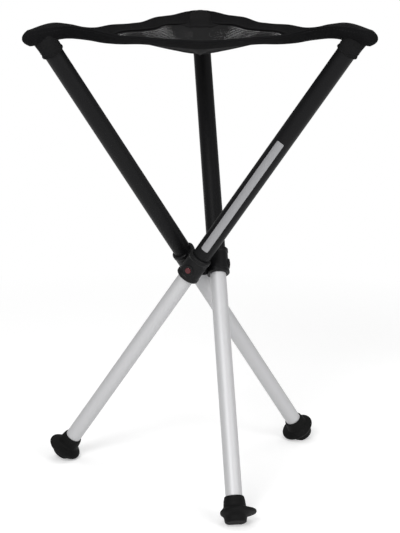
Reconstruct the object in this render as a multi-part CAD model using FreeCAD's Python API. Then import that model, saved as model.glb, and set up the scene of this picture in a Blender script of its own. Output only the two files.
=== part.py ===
# Tripod camping stool: three crossed telescopic legs, a three-armed hub and a mesh sling seat.
import FreeCAD
import Part
import math
import os

from FreeCAD import Vector

# The three legs, and the seat corner that each one carries, as an azimuth in degrees
LEGS = ("a", "b", "c")
FULL_TURN = math.degrees(math.tau)
THIRD_TURN = FULL_TURN / len(LEGS)
RIGHT_ANGLE = math.degrees(math.pi) / 2
CORNER_AZIMUTH = {leg: RIGHT_ANGLE + (place - 1) * THIRD_TURN for place, leg in enumerate(LEGS)}
NUT_SIDES = 6
SURFACE_STEPS = 16

# Stance: each leg's axis passes the hub's axis at leg_offset and leans sideways by leg_tilt
leg_tilt = 35.3
leg_offset = 24.2
seat_line_drop = 14.0

# Upper tube, measured along the leg from the pivot
upper_tube_od = 25.4
upper_tube_wall = 1.2
upper_tube_top = 398.0
upper_tube_tail = 11.0

# Lower tube, at full extension
lower_tube_od = 22.4
lower_tube_wall = 1.2
lower_tube_top = 62.0

# Clearances and one overrun that serves all cuts
turning_clearance = 0.08
slide_clearance = 0.08
seat_fit = 0.05
body_gap = 0.3
overrun = 60.0

# Joint block: a moulded sleeve round the upper tube's lower end
block_radius = 15.6
block_top = 22.0
block_tail = 15.5
block_collar_radius = 16.3
block_collar_height = 5.6
block_skirt_radius = 16.4
block_skirt_height = 6.4
block_step = 1.3
block_round = 1.2
block_pad_wall = 1.5
block_pad_radius = 8.5
block_pad_depth = 5.0

# Trunnion: the pivot stud moulded on the block's inner side
trunnion_neck_radius = 4.0
trunnion_neck_length = 4.0
trunnion_head_radius = 5.2
trunnion_head_length = 2.4

# Hub: a rounded triangle in two halves, clamped round the three trunnions
hub_half_height = 12.5
hub_corner_radius = 14.5
hub_edge_round = 1.8

# Clamp screw and nut of the hub
screw_radius = 2.0
screw_hole_clearance = 0.15
screw_head_radius = 3.6
screw_head_height = 2.4
screw_recess_depth = 3.0
screw_recess_clearance = 0.4
screw_slot_width = 1.0
screw_slot_depth = 1.1
nut_across_flats = 7.0
nut_height = 3.2
nut_recess_depth = 3.6
nut_recess_clearance = 0.4

# Release button, on the pivot's line through the block's outer wall
button_boss_radius = 7.2
button_boss_face = 17.0
button_flange_radius = 5.2
button_flange_thickness = 1.0
button_stem_radius = 4.1
button_proud = 0.7
button_travel = 2.5
button_rest_gap = 0.2
button_shoulder_gap = 0.1
button_edge_round = 0.6

# Snap catch: a bent leaf spring with a plunger in the top of the lower tube
catch_width = 8.0
catch_thickness = 0.8
catch_bend_height = 47.0
catch_bend_radius = 2.4
catch_arm_tail = 8.0
catch_wall_gap = 0.25
plunger_radius = 3.2
plunger_clearance = 0.2

# Glide bush in the lower tube's upper end
bush_head_height = 10.0
bush_stem_length = 10.0
bush_bore_radius = 6.0
bush_edge = 0.8

# Cap in the upper tube's upper end
cap_stem_length = 9.0
cap_head_height = 3.0
cap_dome_height = 1.5

# Rubber foot: its mouth is measured along the leg from the pivot, and the drops from the mouth
foot_mouth = 330.6
foot_socket_depth = 14.4
foot_collar_radius = 13.3
foot_collar_flare = 14.2
foot_shoulder = 4.2
foot_flange_radius = 27.6
foot_flange_top_drop = 13.9
foot_flange_middle_drop = 20.7
foot_flange_bottom_drop = 27.1
foot_flange_tip = 3.4
foot_flange_round = 1.6
foot_nub_radius = 15.5
foot_nub_end_radius = 14.2
foot_length = 41.4
foot_nub_round = 2.0
foot_sole_cut = 8.0
foot_nest_gap = 1.1

# Travel of the joints
leg_retract_travel = 312.0
leg_fold_angle = 32.0

# Seat pocket that slips over the leg's top
pocket_depth = 24.5
pocket_radius = 14.4
pocket_lip_bead = 0.5
pocket_lip_height = 3.0
pocket_dome_radius = 14.7
pocket_inner_gap = 0.15
nose_radius = 13.4
nose_overhang = 21.4

# Sling seat: heights are measured from the middle of the upper tube's end
seat_corner_radius = 236.0
seat_corner_rise = 8.5
seat_edge_dip = 13.0
seat_sag = 30.0
seat_edge_bow = 9.0
mesh_thickness = 1.2
patch_thickness = 2.0
patch_depth = 79.0
binding_width = 20.0
binding_thickness = 3.0

# What follows from the sizes above
TILT = math.radians(leg_tilt)
upper_tube_radius = upper_tube_od / 2
upper_bore_radius = upper_tube_radius - upper_tube_wall
lower_tube_radius = lower_tube_od / 2
lower_bore_radius = lower_tube_radius - lower_tube_wall
lower_tube_tail = foot_mouth + foot_socket_depth
foot_flange_top = foot_mouth + foot_flange_top_drop
foot_flange_middle = foot_mouth + foot_flange_middle_drop
foot_flange_bottom = foot_mouth + foot_flange_bottom_drop
foot_nub_end = foot_mouth + foot_length
pocket_lip = upper_tube_top - pocket_depth
seat_line = upper_tube_top - seat_line_drop
nose_reach = seat_corner_radius + nose_overhang
patch_seam_radius = seat_corner_radius - patch_depth
corner_lead = math.degrees(math.atan2(leg_offset, seat_line * math.sin(TILT)))
pad_face = leg_offset - upper_tube_radius - block_pad_wall
hub_face = pad_face - body_gap
neck_end = pad_face - trunnion_neck_length
head_end = neck_end - trunnion_head_length
button_inner = lower_tube_radius + button_rest_gap + button_travel
button_shoulder = button_inner + button_flange_thickness + button_shoulder_gap
foot_spacing = 2 * leg_offset * math.sin(math.pi / len(LEGS))
foot_nest = (foot_spacing - foot_nest_gap) / 2
hub_height = foot_nub_end * math.cos(TILT) + foot_nub_end_radius * math.sin(TILT) - foot_sole_cut
nut_corner = nut_across_flats / 2 / math.cos(math.pi / NUT_SIDES)


def along(azimuth):
    """Unit vector in the floor's plane at an azimuth in degrees."""
    a = math.radians(azimuth)
    return Vector(math.cos(a), math.sin(a), 0)


def leg_azimuth(leg):
    """Azimuth of the leg's pivot pin, seen from the hub's axis."""
    return CORNER_AZIMUTH[leg] - RIGHT_ANGLE + corner_lead


def leg_frame(leg):
    """Placement of a leg: X outwards along the pivot, Z up the leg, origin on the leg's axis."""
    out = along(leg_azimuth(leg))
    side = along(leg_azimuth(leg) + RIGHT_ANGLE)
    up = side * math.sin(TILT) + Vector(0, 0, math.cos(TILT))
    across = up.cross(out)
    base = out * leg_offset + Vector(0, 0, hub_height)
    m = FreeCAD.Matrix(
        out.x, across.x, up.x, base.x,
        out.y, across.y, up.y, base.y,
        out.z, across.z, up.z, base.z,
        0, 0, 0, 1,
    )
    return FreeCAD.Placement(m)


def leg_point(leg, height):
    """Point on the leg's axis at a height along the leg."""
    return leg_frame(leg).multVec(Vector(0, 0, height))


def rounded_wire(corners):
    """Closed wire in the XZ plane through (x, z, radius) corners, each rounded by a tangent arc."""
    edges = []
    count = len(corners)
    points = [Vector(c[0], 0, c[1]) for c in corners]
    starts, ends, mids = [], [], []
    for i in range(count):
        here = points[i]
        back = points[i - 1] - here
        ahead = points[(i + 1) % count] - here
        radius = corners[i][2]
        half = back.getAngle(ahead) / 2
        if radius == 0 or abs(math.sin(half)) == 1:
            starts.append(here)
            ends.append(here)
            mids.append(None)
            continue
        cut = radius / math.tan(half)
        first = here + back.normalize() * cut
        last = here + ahead.normalize() * cut
        middle = (back + ahead).normalize()
        mids.append(here + middle * (radius / math.sin(half) - radius))
        starts.append(first)
        ends.append(last)
    for i in range(count):
        if mids[i] is not None:
            edges.append(Part.Arc(starts[i], mids[i], ends[i]).toShape())
        gap = starts[(i + 1) % count] - ends[i]
        if gap.Length > 0:
            edges.append(Part.LineSegment(ends[i], starts[(i + 1) % count]).toShape())
    return Part.Wire(edges)


def turned(corners):
    """Solid of revolution about Z from (radius, height, rounding) corners."""
    return Part.Face(rounded_wire(corners)).revolve(Vector(0, 0, 0), Vector(0, 0, 1), FULL_TURN)


def rod(radius, start, end):
    """Round rod along Z from one height to another."""
    return Part.makeCylinder(radius, end - start, Vector(0, 0, start))


def radial_rod(radius, start, end):
    """Round rod along X from one distance to another."""
    return Part.makeCylinder(radius, end - start, Vector(start, 0, 0), Vector(1, 0, 0))


def tube(outer, inner, start, end):
    """Plain tube along Z."""
    return rod(outer, start, end).cut(rod(inner, start - overrun, end + overrun))


def make_upper_tube():
    """Black upper tube with the button's hole through its outer wall."""
    body = tube(upper_tube_radius, upper_bore_radius, -upper_tube_tail, upper_tube_top)
    hole = radial_rod(button_flange_radius + body_gap, 0, upper_tube_radius + overrun)
    return body.cut(hole)


def make_block():
    """Joint block: stepped sleeve, inner pad with the trunnion, outer boss for the button."""
    skirt_top = -block_tail + block_skirt_height
    collar_low = block_top - block_collar_height
    sleeve = turned([
        (0, -block_tail, 0),
        (block_skirt_radius - block_step, -block_tail, block_round),
        (block_skirt_radius, -block_tail + block_step, block_round),
        (block_skirt_radius, skirt_top - block_step, block_round),
        (block_radius, skirt_top, block_round),
        (block_radius, collar_low - block_step, block_round),
        (block_collar_radius, collar_low, block_round),
        (block_collar_radius, block_top - block_step, block_round),
        (block_collar_radius - block_step, block_top, block_round),
        (0, block_top, 0),
    ])
    pad_plane = pad_face - leg_offset
    pad = radial_rod(block_pad_radius, pad_plane, pad_plane + block_pad_depth)
    boss = radial_rod(button_boss_radius, 0, button_boss_face)
    boss_edge = [e for e in boss.Edges if abs(e.CenterOfMass.x - button_boss_face) < button_proud
                 and isinstance(e.Curve, Part.Circle)]
    boss = boss.makeFillet(button_edge_round, boss_edge)
    body = sleeve.fuse([pad, boss])
    beyond = Part.makeBox(overrun, 2 * overrun, 2 * overrun, Vector(pad_plane - overrun, -overrun, -overrun))
    body = body.cut(beyond)
    body = body.cut(rod(upper_tube_radius + seat_fit, -upper_tube_tail, block_top + overrun))
    body = body.cut(rod(upper_bore_radius + seat_fit, -block_tail - overrun, 0))
    well = radial_rod(button_flange_radius + body_gap, 0, button_shoulder)
    hole = radial_rod(button_stem_radius + body_gap, 0, button_boss_face + overrun)
    body = body.cut(well).cut(hole)
    neck = radial_rod(trunnion_neck_radius, neck_end - leg_offset, pad_plane)
    head = radial_rod(trunnion_head_radius, head_end - leg_offset, neck_end - leg_offset)
    return body.fuse([neck, head]).removeSplitter()


def make_top_cap():
    """Cap that closes the upper tube and carries the seat pocket."""
    top = upper_tube_top + cap_head_height
    head = turned([
        (0, upper_tube_top - cap_stem_length, 0),
        (upper_bore_radius - seat_fit, upper_tube_top - cap_stem_length, 0),
        (upper_bore_radius - seat_fit, upper_tube_top, 0),
        (upper_tube_radius, upper_tube_top, 0),
        (upper_tube_radius, top, cap_dome_height),
        (0, top, 0),
    ])
    return head


def make_lower_tube():
    """Silver lower tube with the plunger's hole."""
    body = tube(lower_tube_radius, lower_bore_radius, -lower_tube_tail, lower_tube_top)
    hole = radial_rod(plunger_radius + plunger_clearance, 0, lower_tube_radius + overrun)
    return body.cut(hole)


def make_glide_bush():
    """Plug in the lower tube's top, whose head glides in the upper tube's bore."""
    head_radius = upper_bore_radius - slide_clearance
    top = lower_tube_top + bush_head_height
    stem = lower_tube_top - bush_stem_length
    return turned([
        (bush_bore_radius, stem, 0),
        (lower_bore_radius - seat_fit, stem, 0),
        (lower_bore_radius - seat_fit, lower_tube_top, 0),
        (head_radius, lower_tube_top, 0),
        (head_radius, top, bush_edge),
        (bush_bore_radius, top, 0),
    ])


def make_catch():
    """Leaf spring bent like a hairpin, with the plunger that the button pushes on."""
    half_width = catch_width / 2
    wall = math.sqrt(lower_bore_radius ** 2 - half_width ** 2) - catch_wall_gap
    bend = catch_bend_height
    outer = rounded_wire([
        (-wall, -catch_arm_tail, 0),
        (-wall, 0, catch_bend_radius),
        (-catch_bend_radius, bend, catch_bend_radius),
        (catch_bend_radius, bend, catch_bend_radius),
        (wall, plunger_radius * 2, catch_bend_radius),
        (wall, -catch_arm_tail, 0),
    ])
    inner = rounded_wire([
        (-wall + catch_thickness, -catch_arm_tail - overrun, 0),
        (-wall + catch_thickness, 0, catch_bend_radius - catch_thickness),
        (-catch_bend_radius + catch_thickness, bend - catch_thickness, catch_bend_radius - catch_thickness),
        (catch_bend_radius - catch_thickness, bend - catch_thickness, catch_bend_radius - catch_thickness),
        (wall - catch_thickness, plunger_radius * 2, catch_bend_radius - catch_thickness),
        (wall - catch_thickness, -catch_arm_tail - overrun, 0),
    ])
    across = Vector(0, catch_width, 0)
    strip = Part.Face(outer).extrude(across).cut(Part.Face(inner).extrude(across))
    strip.translate(Vector(0, -half_width, 0))
    plunger = radial_rod(plunger_radius, wall - catch_thickness, lower_tube_radius)
    plunger = plunger.common(rod(lower_tube_radius - seat_fit, -plunger_radius * 2, plunger_radius * 2))
    return strip.fuse(plunger)


def make_button():
    """Red release button with its retaining flange."""
    outer_face = button_boss_face + button_proud
    flange = radial_rod(button_flange_radius, button_inner, button_inner + button_flange_thickness)
    stem = radial_rod(button_stem_radius, button_inner, outer_face)
    rim = [e for e in stem.Edges if abs(e.CenterOfMass.x - outer_face) < button_proud
           and isinstance(e.Curve, Part.Circle)]
    return flange.fuse(stem.makeFillet(button_edge_round, rim))


def make_foot():
    """Rubber foot with a round collar, a broad flange trimmed to nest, and a nub."""
    tip_top = -foot_flange_middle + foot_flange_tip / 2
    tip_low = -foot_flange_middle - foot_flange_tip / 2
    body = turned([
        (0, -foot_nub_end, 0),
        (foot_nub_end_radius, -foot_nub_end, foot_nub_round),
        (foot_nub_radius, -foot_flange_bottom, foot_flange_round),
        (foot_flange_radius, tip_low, foot_flange_round),
        (foot_flange_radius, tip_top, foot_flange_round),
        (foot_collar_flare, -foot_flange_top, foot_shoulder),
        (foot_collar_radius, -foot_mouth - foot_shoulder, foot_shoulder),
        (lower_tube_radius + upper_tube_wall, -foot_mouth, 0),
        (0, -foot_mouth, 0),
    ])
    socket = rod(lower_tube_radius + seat_fit, -lower_tube_tail, -foot_mouth + overrun)
    keep = None
    for turn in (RIGHT_ANGLE + THIRD_TURN / 2, 3 * RIGHT_ANGLE - THIRD_TURN / 2):
        half = Part.makeBox(foot_nest + overrun, 2 * overrun, foot_nub_end, Vector(-overrun, -overrun, -foot_nub_end))
        half.rotate(Vector(0, 0, 0), Vector(0, 0, 1), turn)
        keep = half if keep is None else keep.common(half)
    return body.common(keep).cut(socket)


def make_leg_parts():
    """The pieces of one leg in the leg's own frame."""
    return {
        "joint_block": make_block(),
        "upper_tube": make_upper_tube(),
        "top_cap": make_top_cap(),
        "lower_tube": make_lower_tube(),
        "glide_bush": make_glide_bush(),
        "catch_spring": make_catch(),
        "release_button": make_button(),
        "foot": make_foot(),
    }


def nose_centre(leg):
    """Middle of the pocket's rounded nose, beyond the upper tube's end."""
    end = leg_point(leg, upper_tube_top)
    flat = along(CORNER_AZIMUTH[leg]) * (nose_reach - nose_radius)
    return Vector(flat.x, flat.y, end.z)


def pocket_outside(leg, grown=0.0):
    """Outside of a pocket: sleeve with a domed end, and a nose that points outwards."""
    lip_top = pocket_lip + pocket_lip_height
    sleeve = turned([
        (0, pocket_lip - grown, 0),
        (pocket_radius + pocket_lip_bead + grown, pocket_lip - grown, 0),
        (pocket_radius + pocket_lip_bead + grown, lip_top, pocket_lip_bead),
        (pocket_radius + grown, lip_top + pocket_lip_bead, 0),
        (pocket_radius + grown, upper_tube_top, 0),
        (0, upper_tube_top, 0),
    ])
    dome = Part.makeSphere(pocket_dome_radius + grown, Vector(0, 0, upper_tube_top))
    shape = sleeve.fuse(dome)
    shape.Placement = leg_frame(leg)
    start = leg_point(leg, upper_tube_top)
    end = nose_centre(leg)
    radius = nose_radius + grown
    bridge = Part.makeCylinder(radius, (end - start).Length, start, end - start)
    tip = Part.makeSphere(radius, end)
    return shape.fuse([bridge, tip])


def make_pocket(leg):
    """Sewn pocket of solid cloth over the upper tube's end."""
    radius = upper_tube_radius + pocket_inner_gap
    hollow = rod(radius, pocket_lip - overrun, upper_tube_top + cap_head_height + pocket_inner_gap)
    hollow.Placement = leg_frame(leg)
    return pocket_outside(leg).cut(hollow).removeSplitter()


def make_hub_half(upper):
    """One half of the hub, with its seats for the trunnions."""
    height = 2 * hub_half_height
    body = Part.makeCylinder(hub_corner_radius, height, Vector(0, 0, -hub_half_height))
    for leg in LEGS:
        slab = Part.makeBox(hub_face + overrun, 2 * overrun, height, Vector(-overrun, -overrun, -hub_half_height))
        slab.rotate(Vector(0, 0, 0), Vector(0, 0, 1), leg_azimuth(leg))
        body = body.common(slab)
    ends = [e for e in body.Edges if abs(abs(e.CenterOfMass.z) - hub_half_height) < screw_slot_width / 2]
    body = body.makeFillet(hub_edge_round, ends)
    for leg in LEGS:
        neck = radial_rod(trunnion_neck_radius + turning_clearance, head_end, hub_face + overrun)
        head = radial_rod(trunnion_head_radius + turning_clearance, head_end - turning_clearance,
                          neck_end + turning_clearance)
        seat = neck.fuse(head)
        seat.rotate(Vector(0, 0, 0), Vector(0, 0, 1), leg_azimuth(leg))
        body = body.cut(seat)
    body = body.cut(rod(screw_radius + screw_hole_clearance, -overrun, overrun))
    body = body.cut(rod(screw_head_radius + screw_recess_clearance, hub_half_height - screw_recess_depth, overrun))
    body = body.cut(rod(nut_corner + nut_recess_clearance, -overrun, -hub_half_height + nut_recess_depth))
    side = 0 if upper else -overrun
    keep = Part.makeBox(2 * overrun, 2 * overrun, overrun, Vector(-overrun, -overrun, side))
    half = body.common(keep)
    half.translate(Vector(0, 0, hub_height))
    return half


def make_clamp_screw():
    """Slotted screw that clamps the two halves of the hub."""
    seat = hub_half_height - screw_recess_depth
    shank = rod(screw_radius, -hub_half_height, seat)
    head = rod(screw_head_radius, seat, seat + screw_head_height)
    slot = Part.makeBox(2 * screw_head_radius, screw_slot_width, overrun,
                        Vector(-screw_head_radius, -screw_slot_width / 2, seat + screw_head_height - screw_slot_depth))
    screw = shank.fuse(head).cut(slot)
    screw.translate(Vector(0, 0, hub_height))
    return screw


def make_clamp_nut():
    """Hexagon nut in the lower half of the hub."""
    seat = -hub_half_height + nut_recess_depth
    ring = [along(k * FULL_TURN / NUT_SIDES) * nut_corner for k in range(NUT_SIDES + 1)]
    nut = Part.Face(Part.makePolygon(ring)).extrude(Vector(0, 0, nut_height))
    nut.translate(Vector(0, 0, seat - nut_height))
    nut = nut.cut(rod(screw_radius + seat_fit, -overrun, overrun))
    nut.translate(Vector(0, 0, hub_height))
    return nut


def seat_shape():
    """Coefficients of the sling's height: level at the middle, then square and cubic terms."""
    corner = leg_point("a", upper_tube_top).z + seat_corner_rise
    edge = corner - seat_edge_dip
    middle = edge - seat_sag
    edge_radius = seat_corner_radius / 2 - seat_edge_bow
    # Solve square * r^2 + cubic * r^3 * cos(3 angle) for the corner and for the middle of an edge
    rise_corner = corner - middle
    rise_edge = edge - middle
    square = (rise_corner / seat_corner_radius ** 3 + rise_edge / edge_radius ** 3) / (
        1 / seat_corner_radius + 1 / edge_radius)
    cubic = rise_corner / seat_corner_radius ** 3 - square / seat_corner_radius
    return middle, square, cubic


def seat_height(x, y):
    """Height of the sling's middle surface above the floor."""
    middle, square, cubic = seat_shape()
    radius = math.hypot(x, y)
    angle = math.atan2(y, x) - math.radians(CORNER_AZIMUTH["b"])
    return middle + square * radius ** 2 + cubic * radius ** 3 * math.cos(3 * angle)


def rim_wire(inset=0.0):
    """Plan outline of the sling with its three bowed edges, drawn in by an inset."""
    tips = [along(azimuth) * seat_corner_radius for azimuth in CORNER_AZIMUTH.values()]
    edges = []
    for k, tip in enumerate(tips):
        after = tips[(k + 1) % len(tips)]
        middle = (tip + after) * 0.5
        inwards = middle * (-1 / middle.Length)
        edges.append(Part.Arc(tip, middle + inwards * seat_edge_bow, after).toShape())
    wire = Part.Wire(edges)
    if inset:
        wire = wire.makeOffset2D(-inset, 2)
    return wire


def upright(wire):
    """Upright prism over a plan outline, taller than the stool."""
    return Part.Face(wire).extrude(Vector(0, 0, 3 * hub_height))


def sling(thickness):
    """Sagging sheet of one thickness over a square plan that is larger than the seat."""
    reach = seat_corner_radius + binding_width
    step = 2 * reach / SURFACE_STEPS
    rows = []
    for i in range(SURFACE_STEPS + 1):
        x = -reach + i * step
        ys = [-reach + j * step for j in range(SURFACE_STEPS + 1)]
        rows.append([Vector(x, y, seat_height(x, y) - thickness / 2) for y in ys])
    surface = Part.BSplineSurface()
    surface.interpolate(rows)
    return surface.toShape().extrude(Vector(0, 0, thickness))


def half_space(azimuth, distance=0.0):
    """Block of space beyond an upright plane that faces an azimuth at a distance."""
    box = Part.makeBox(2 * seat_corner_radius, 4 * seat_corner_radius, 3 * hub_height,
                       Vector(distance, -2 * seat_corner_radius, 0))
    box.rotate(Vector(0, 0, 0), Vector(0, 0, 1), azimuth)
    return box


def make_seat_parts():
    """Mesh panel, three corner patches and three edge bindings of the sling."""
    core = upright(rim_wire(binding_width))
    pockets = [pocket_outside(leg, body_gap) for leg in LEGS]
    panel = sling(mesh_thickness).common(core)
    patches = sling(patch_thickness).common(core)
    border = sling(binding_thickness).common(upright(rim_wire())).cut(core).cut(pockets)
    parts = {}
    for leg in LEGS:
        corner = CORNER_AZIMUTH[leg]
        outside = half_space(corner, patch_seam_radius)
        panel = panel.cut(outside)
        parts["corner_patch_" + leg] = patches.common(outside).cut(pockets)
        past_corner = half_space(corner + RIGHT_ANGLE)
        before_next = half_space(corner + THIRD_TURN - RIGHT_ANGLE)
        parts["edge_binding_" + leg] = border.common(past_corner).common(before_next)
    parts["seat_mesh"] = panel
    return parts


def placed_foot(shape, leg):
    """A foot in its place, cut level where it stands on the floor."""
    foot = shape.copy()
    foot.Placement = leg_frame(leg)
    floor = Part.makeBox(4 * overrun, 4 * overrun, overrun, Vector(-2 * overrun, -2 * overrun, -overrun))
    under = leg_point(leg, -foot_nub_end)
    floor.translate(Vector(under.x, under.y, 0))
    return foot.cut(floor)


def axis_shift():
    """Shift along Y that brings the middle of the whole stool's plan to the origin."""
    back = nose_reach
    front = leg_point("b", -foot_flange_middle)
    reach = front.y - foot_flange_radius * math.cos(TILT)
    return Vector(0, -(back + reach) / 2, 0)


def build():
    """All nodes by name, in the stool's own frame."""
    parts = {
        "hub_upper": make_hub_half(True),
        "hub_lower": make_hub_half(False),
        "hub_screw": make_clamp_screw(),
        "hub_nut": make_clamp_nut(),
    }
    local = make_leg_parts()
    for leg in LEGS:
        for name, shape in local.items():
            if name == "foot":
                placed = placed_foot(shape, leg)
            else:
                placed = shape.copy()
                placed.Placement = leg_frame(leg)
            parts[name + "_" + leg] = placed
        parts["seat_pocket_" + leg] = make_pocket(leg)
    parts.update(make_seat_parts())
    shift = axis_shift()
    for shape in parts.values():
        shape.translate(shift)
    return parts


def main():
    """Write one file for each node."""
    os.makedirs("parts", exist_ok=True)
    for name, shape in build().items():
        shape.exportStep("parts/" + name + ".step")
        print(name, "solids", len(shape.Solids), "valid", shape.isValid(), "volume", round(shape.Volume, 1))


if __name__ == "__main__":
    main()
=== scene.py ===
"""Tripod camping stool: sling seat, feet, caps, label plate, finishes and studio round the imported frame."""

import logging
import math
from collections.abc import Callable
from dataclasses import dataclass, field
from enum import Enum
from functools import cached_property

import bmesh
import bpy
import numpy as np
from bpy.types import Material, Node, Object, ShaderNodeTree
from mathutils import Matrix, Vector

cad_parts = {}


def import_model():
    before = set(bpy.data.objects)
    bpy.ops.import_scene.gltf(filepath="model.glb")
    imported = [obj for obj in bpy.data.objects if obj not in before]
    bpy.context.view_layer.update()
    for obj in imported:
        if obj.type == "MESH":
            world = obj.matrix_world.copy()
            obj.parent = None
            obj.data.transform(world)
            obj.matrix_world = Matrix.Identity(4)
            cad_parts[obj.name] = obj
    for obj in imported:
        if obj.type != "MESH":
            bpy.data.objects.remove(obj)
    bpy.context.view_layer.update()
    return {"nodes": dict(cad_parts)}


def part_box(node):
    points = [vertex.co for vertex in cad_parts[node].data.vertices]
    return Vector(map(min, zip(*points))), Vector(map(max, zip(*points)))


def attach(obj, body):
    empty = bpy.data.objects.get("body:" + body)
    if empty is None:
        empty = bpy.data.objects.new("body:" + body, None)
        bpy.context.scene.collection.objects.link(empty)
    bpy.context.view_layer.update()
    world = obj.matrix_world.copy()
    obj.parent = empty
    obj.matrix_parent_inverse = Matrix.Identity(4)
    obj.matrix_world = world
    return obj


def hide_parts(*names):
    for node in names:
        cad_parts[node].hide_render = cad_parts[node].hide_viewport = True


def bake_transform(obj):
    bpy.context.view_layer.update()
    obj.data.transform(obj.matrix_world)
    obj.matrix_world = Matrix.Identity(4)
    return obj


LOG = logging.getLogger("stool")
MM = 0.001
UP = Vector((0.0, 0.0, 1.0))
LEGS = ("a", "b", "c")
BACK_LEG = "b"
CORNER_AZIMUTH = {"a": -30.0, "b": 90.0, "c": 210.0}
HALF_SECTOR = 60.0
CLOTH_EDGE_ANGLE = 60.0
MOULDED_EDGE_ANGLE = 50.0
MERGE_DISTANCE = 0.00001


class Edge(Enum):
    """The three edges of the sling, by the azimuth that each one faces."""

    FRONT = 270.0
    LEFT = 150.0
    RIGHT = 30.0


EDGE_NODES = {Edge.FRONT: "edge_binding_c", Edge.LEFT: "edge_binding_b", Edge.RIGHT: "edge_binding_a"}


def deselect_all() -> None:
    """Leave edit mode and deselect every object."""
    if bpy.context.object is not None and bpy.context.object.mode != "OBJECT":
        bpy.ops.object.mode_set(mode="OBJECT")
    bpy.ops.object.select_all(action="DESELECT")


def select_only(piece: Object) -> None:
    """Make one object the selected and active one.

    Args:
        piece: The object.
    """
    deselect_all()
    piece.select_set(True)
    bpy.context.view_layer.objects.active = piece


def edit_all(piece: Object) -> None:
    """Open one object in edit mode with all of its mesh selected.

    Args:
        piece: The object.
    """
    select_only(piece)
    bpy.ops.object.mode_set(mode="EDIT")
    bpy.ops.mesh.select_all(action="SELECT")


def add_grid(name: str, faces: tuple[int, int]) -> Object:
    """Add a flat grid whose corners are at -1 and 1, to be shaped as a sheet.

    Args:
        name: Name of the new object.
        faces: Number of faces along X and along Y.

    Returns:
        The grid.
    """
    deselect_all()
    bpy.ops.mesh.primitive_grid_add(x_subdivisions=faces[0], y_subdivisions=faces[1], size=2)
    piece = bpy.context.object
    piece.name = name
    piece.data.name = name
    return piece


def shape_grid(piece: Object, place: Callable[[float, float], Vector]) -> None:
    """Move each vertex of a grid to place(u, v), with u and v from 0 to 1.

    Args:
        piece: A grid from add_grid.
        place: Function from the shares u and v to a point in metres.
    """
    for vertex in piece.data.vertices:
        u = (vertex.co.x + 1) / 2
        v = (vertex.co.y + 1) / 2
        vertex.co = place(u, v)
    piece.data.update()


def cut_size(piece: Object, faces: tuple[int, int]) -> tuple[tuple[float, float], float]:
    """Flat size of a shaped grid, for cloth that doesn't stretch.

    Args:
        piece: A shaped grid that has no wall yet.
        faces: Its number of faces along X and along Y.

    Returns:
        Width and length of the cut in metres, and its area in square metres.
    """
    along, across = faces
    points = np.array([tuple(vertex.co) for vertex in piece.data.vertices]).reshape(across + 1, along + 1, 3)
    length = np.linalg.norm(np.diff(points, axis=1), axis=2).sum(axis=1).max()
    width = np.linalg.norm(np.diff(points, axis=0), axis=2).sum(axis=0).max()
    area = sum(face.area for face in piece.data.polygons)
    return (float(width), float(length)), min(area, float(width * length))


def apply_modifier(piece: Object, kind: str, **settings) -> None:
    """Add a modifier with its settings and apply it.

    Args:
        piece: The object that gets it.
        kind: The modifier's type.
        **settings: Values of its properties.
    """
    select_only(piece)
    modifier = piece.modifiers.new(kind.title(), kind)
    for key, value in settings.items():
        setattr(modifier, key, value)
    bpy.ops.object.modifier_apply(modifier=modifier.name)


def repeat(piece: Object, count: int, step: tuple[float, float, float]) -> None:
    """Repeat a mesh in a straight row, with a step in the mesh's own units from one to the next."""
    apply_modifier(piece, "ARRAY", count=count, use_relative_offset=False, use_constant_offset=True,
                   constant_offset_displace=step)


def thicken(piece: Object, thickness: float) -> None:
    """Give a sheet its wall, in mm, about its middle."""
    apply_modifier(piece, "SOLIDIFY", thickness=thickness * MM, offset=0.0, use_even_offset=True)


def outwards(piece: Object) -> None:
    """Merge doubles and turn every face outwards.

    Args:
        piece: An object with a closed shell or a sheet.
    """
    edit_all(piece)
    bpy.ops.mesh.remove_doubles(threshold=MERGE_DISTANCE)
    bpy.ops.mesh.normals_make_consistent(inside=False)
    bpy.ops.object.mode_set(mode="OBJECT")


def give(piece: Object, material: Material) -> None:
    """Replace an object's materials by one."""
    piece.data.materials.clear()
    piece.data.materials.append(material)


def smooth(piece: Object, angle: float, material: Material) -> None:
    """Shade smooth, but for sharp edges, and give the material.

    Args:
        piece: The object.
        angle: Angle in degrees from which an edge is sharp.
        material: The object's material.
    """
    select_only(piece)
    bpy.ops.object.shade_smooth_by_angle(angle=math.radians(angle))
    give(piece, material)


def ease(share: float) -> float:
    """Smooth step of a share from 0 to 1."""
    share = min(max(share, 0.0), 1.0)
    return share * share * (3 - 2 * share)


def flat_direction(azimuth: float) -> Vector:
    """Unit vector in the floor's plane at an azimuth in degrees."""
    angle = math.radians(azimuth)
    return Vector((math.cos(angle), math.sin(angle), 0.0))


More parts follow.
